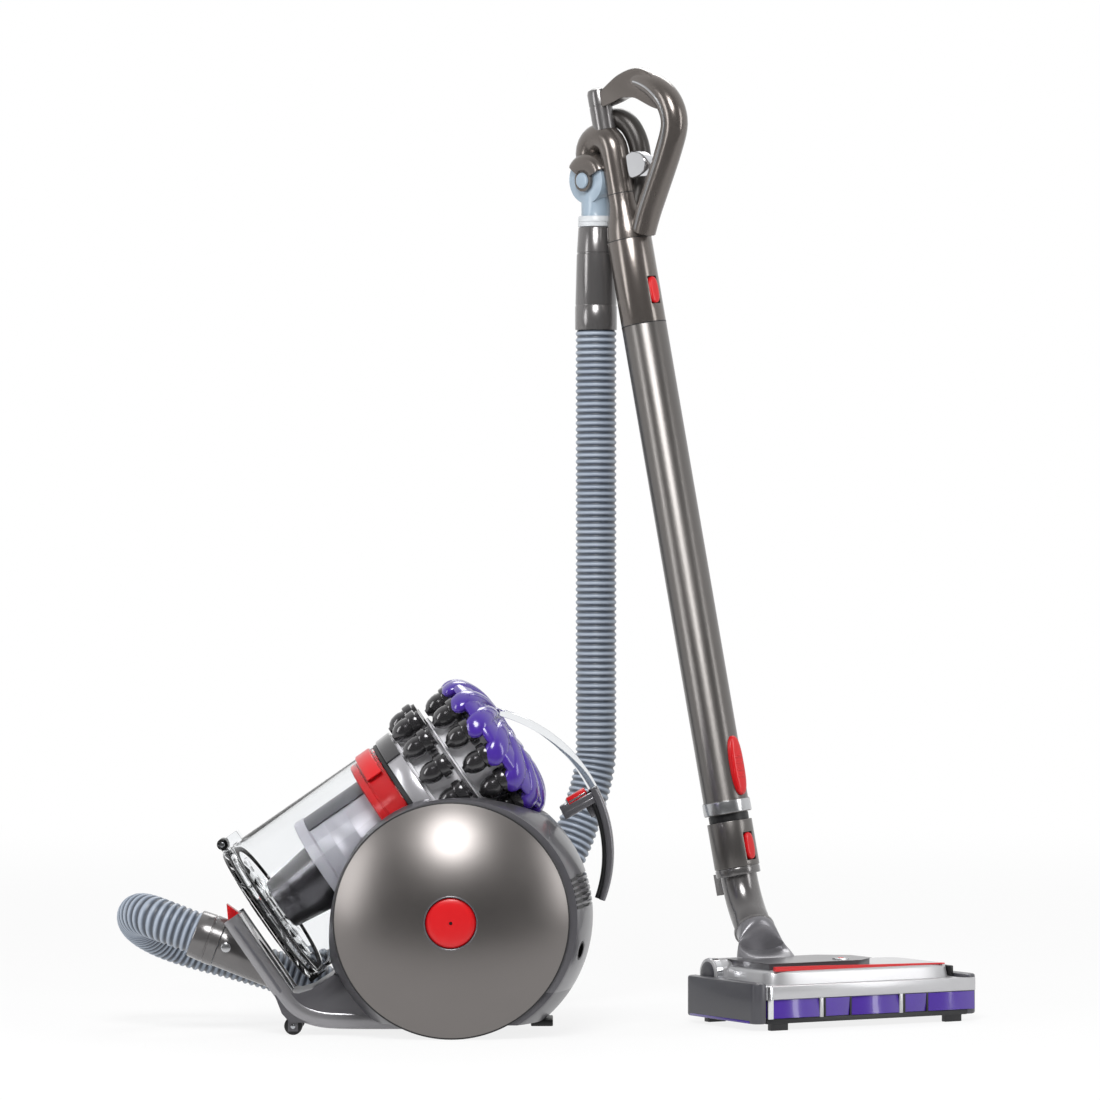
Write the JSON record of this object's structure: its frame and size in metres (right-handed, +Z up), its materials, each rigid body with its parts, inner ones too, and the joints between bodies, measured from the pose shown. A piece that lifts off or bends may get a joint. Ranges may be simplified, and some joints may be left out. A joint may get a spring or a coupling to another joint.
{
  "type": "cylinder vacuum cleaner",
  "caption": "Ball-bodied cylinder vacuum cleaner with a clear bin under cyclones, a ribbed hose, a telescopic wand with loop handle and a brush-bar floor head.",
  "frame": {"origin": "on the floor, below the middle of the machine with its wand and head", "axes": "+Z up, -X the way the machine faces, -Y the side with the near wheel"},
  "size_m": [0.8728, 0.4238, 0.9855],
  "materials": {
    "ball_grey": "metallic grey, glossy",
    "housing_grey": "dark grey, glossy",
    "base_grey": "grey, glossy",
    "black_plastic": "black",
    "red_plastic": "red, glossy",
    "clear_plastic": "clear",
    "shroud_grey": "pale grey",
    "tube_grey": "dark metallic grey",
    "rubber_black": "black seal",
    "pale_grey": "pale grey",
    "cone_grey": "dark, glossy",
    "purple_plastic": "purple, glossy",
    "filter_white": "pleated filter",
    "silver_plastic": "silver",
    "hose_blue": "pale blue-grey, ribbed",
    "knuckle_blue": "pale blue",
    "handle_taupe": "taupe grey",
    "wand_grey": "anodised dark grey",
    "chrome_trim": "bright",
    "charcoal": "charcoal",
    "motor_metal": "steel",
    "brush_dark": "roller"
  },
  "bodies": {
    "chassis": {"base_tray": "base_grey", "ball_housing": "housing_grey", "rear_cover": "housing_grey", "cord_outlet_bush": "silver_plastic", "rear_foot": "rubber_black", "wheel_axles": "motor_metal", "wheel_bearings": "motor_metal", "motor": "motor_metal", "motor_mount": "rubber_black", "exhaust_filter": "filter_white", "front_cradle": "silver_plastic", "inlet_elbow": "base_grey", "hose_run": "hose_blue", "hose_riser": "hose_blue"},
    "near_wheel": {"ball_wheel_near": "ball_grey", "hub_cap_near": "red_plastic"},
    "far_wheel": {"ball_wheel_far": "ball_grey", "hub_cap_far": "red_plastic"},
    "front_wheel_set": {"front_wheels": "black_plastic", "front_axle": "motor_metal"},
    "fan": {"impeller": "black_plastic"},
    "reel": {"cord_reel": "black_plastic"},
    "catch": {"hose_release_catch": "red_plastic"},
    "front_cuff": {"hose_cuff_front": "tube_grey"},
    "bin": {"clear_bin": "clear_plastic", "flap_hinge_pin": "motor_metal", "shroud": "shroud_grey", "dust_tube": "tube_grey", "bin_collar": "red_plastic", "bin_seal": "rubber_black", "cyclone_body": "pale_grey", "cyclone_cones": "cone_grey", "crown": "purple_plastic", "pre_filter": "filter_white", "carry_handle": "silver_plastic"},
    "flap": {"bin_flap": "clear_plastic", "flap_seal": "rubber_black"},
    "release_key": {"bin_release_button": "red_plastic"},
    "power_key": {"power_button": "red_plastic"},
    "hose_end": {"hose_cuff_top": "tube_grey"},
    "knuckle_body": {"knuckle": "knuckle_blue"},
    "handle": {"knuckle_pin": "motor_metal", "handle_crook": "handle_taupe", "handle_loop": "handle_taupe", "wand_collar": "handle_taupe", "outer_wand": "wand_grey"},
    "trigger_body": {"trigger": "chrome_trim"},
    "top_key": {"wand_button_top": "red_plastic"},
    "telescope_key": {"telescope_catch": "red_plastic"},
    "inner": {"inner_wand": "wand_grey", "neck_elbow": "wand_grey"},
    "low_key": {"wand_button_low": "red_plastic"},
    "boot": {"neck_boot": "base_grey"},
    "head": {"head_body": "charcoal", "deck": "silver_plastic", "end_caps": "charcoal", "sole_plate": "base_grey", "front_window": "purple_plastic"},
    "brush": {"brush_bar": "brush_dark"},
    "slider": {"suction_slider": "red_plastic"}
  },
  "joints": [
    {"name": "near_wheel_spin", "type": "hinge", "parent": "chassis", "child": "near_wheel", "pos_m": [-0.13273, -0.08239, 0.117], "axis": [0, 1, 0], "continuous": true},
    {"name": "far_wheel_spin", "type": "hinge", "parent": "chassis", "child": "far_wheel", "pos_m": [-0.13273, -0.08239, 0.117], "axis": [0, 1, 0], "continuous": true},
    {"name": "front_wheel_spin", "type": "hinge", "parent": "chassis", "child": "front_wheel_set", "pos_m": [-0.29073, -0.08239, 0.009], "axis": [0, 1, 0], "continuous": true},
    {"name": "fan_spin", "type": "hinge", "parent": "chassis", "child": "fan", "pos_m": [-0.11073, -0.08239, 0.078], "axis": [0, 1, 0], "continuous": true},
    {"name": "reel_spin", "type": "hinge", "parent": "chassis", "child": "reel", "pos_m": [-0.12273, -0.08239, 0.078], "axis": [0, 1, 0], "continuous": true},
    {"name": "catch_slide", "type": "slide", "parent": "chassis", "child": "catch", "axis": [0.8211, 0, 0.5707], "range_m": [0, 0.004], "stiffness_N_per_m": 400},
    {"name": "cuff_swivel", "type": "hinge", "parent": "chassis", "child": "front_cuff", "pos_m": [-0.36573, -0.08239, 0.089], "axis": [-0.9304, 0, 0.3665], "continuous": true},
    {"name": "bin_lift", "type": "slide", "parent": "chassis", "child": "bin", "axis": [0.8211, 0, 0.5707], "range_m": [0, 0.2]},
    {"name": "flap_open", "type": "hinge", "parent": "bin", "child": "flap", "pos_m": [-0.36252, -0.08239, 0.18773], "axis": [0, 1, 0], "range_deg": [0, 70]},
    {"name": "release_press", "type": "slide", "parent": "bin", "child": "release_key", "axis": [0.507, 0, -0.862], "range_m": [0, 0.0025], "stiffness_N_per_m": 400},
    {"name": "power_press", "type": "slide", "parent": "bin", "child": "power_key", "axis": [0.507, 0, -0.862], "range_m": [0, 0.0025], "stiffness_N_per_m": 400},
    {"name": "hose_stretch", "type": "slide", "parent": "chassis", "child": "hose_end", "axis": [0, 0, 1], "range_m": [0, 0.2952], "deforming": ["hose_riser"]},
    {"name": "knuckle_swivel", "type": "hinge", "parent": "hose_end", "child": "knuckle_body", "pos_m": [0.01257, 0.18391, 0.825], "axis": [0, 0, 1], "range_deg": [-20, 40]},
    {"name": "handle_hinge", "type": "hinge", "parent": "knuckle_body", "child": "handle", "pos_m": [0.01253, 0.18394, 0.86972], "axis": [0.705, 0.705, 0.0779], "range_deg": [-45, 1]},
    {"name": "trigger_pull", "type": "slide", "parent": "handle", "child": "trigger_body", "axis": [-0.6891, 0.7068, -0.1599], "range_m": [0, 0.004], "stiffness_N_per_m": 400},
    {"name": "top_button_press", "type": "slide", "parent": "handle", "child": "top_key", "axis": [-0.6891, 0.7068, -0.1599], "range_m": [0, 0.0015], "stiffness_N_per_m": 400},
    {"name": "telescope_catch_slide", "type": "slide", "parent": "handle", "child": "telescope_key", "axis": [-0.1678, 0.059, 0.9841], "range_m": [0, 0.006], "stiffness_N_per_m": 400},
    {"name": "wand_extend", "type": "slide", "parent": "handle", "child": "inner", "axis": [0.1678, -0.059, -0.9841], "range_m": [0, 0.3]},
    {"name": "low_button_press", "type": "slide", "parent": "inner", "child": "low_key", "axis": [-0.6891, 0.7068, -0.1599], "range_m": [0, 0.0015], "stiffness_N_per_m": 400},
    {"name": "neck_swivel", "type": "hinge", "parent": "inner", "child": "boot", "pos_m": [0.17433, 0.08425, 0.09185], "axis": [-0.2394, 0.7277, 0.6427], "range_deg": [-40, 40]},
    {"name": "head_pitch", "type": "hinge", "parent": "boot", "child": "head", "pos_m": [0.18247, 0.05951, 0.07], "axis": [0.866, 0.5, 0], "range_deg": [-15, 15]},
    {"name": "brush_spin", "type": "hinge", "parent": "head", "child": "brush", "pos_m": [0.26927, 0.00917, 0.0215], "axis": [0.866, 0.5, 0], "continuous": true},
    {"name": "slider_move", "type": "slide", "parent": "head", "child": "slider", "axis": [0.866, 0.5, 0], "range_m": [0, 0.024]}
  ],
  "couplings": [
    {"joint": "flap_open", "follows": "bin_lift", "rad_per_m": 6.1},
    {"joint": "hose_stretch", "follows": "wand_extend", "ratio": 0.984}
  ]
}
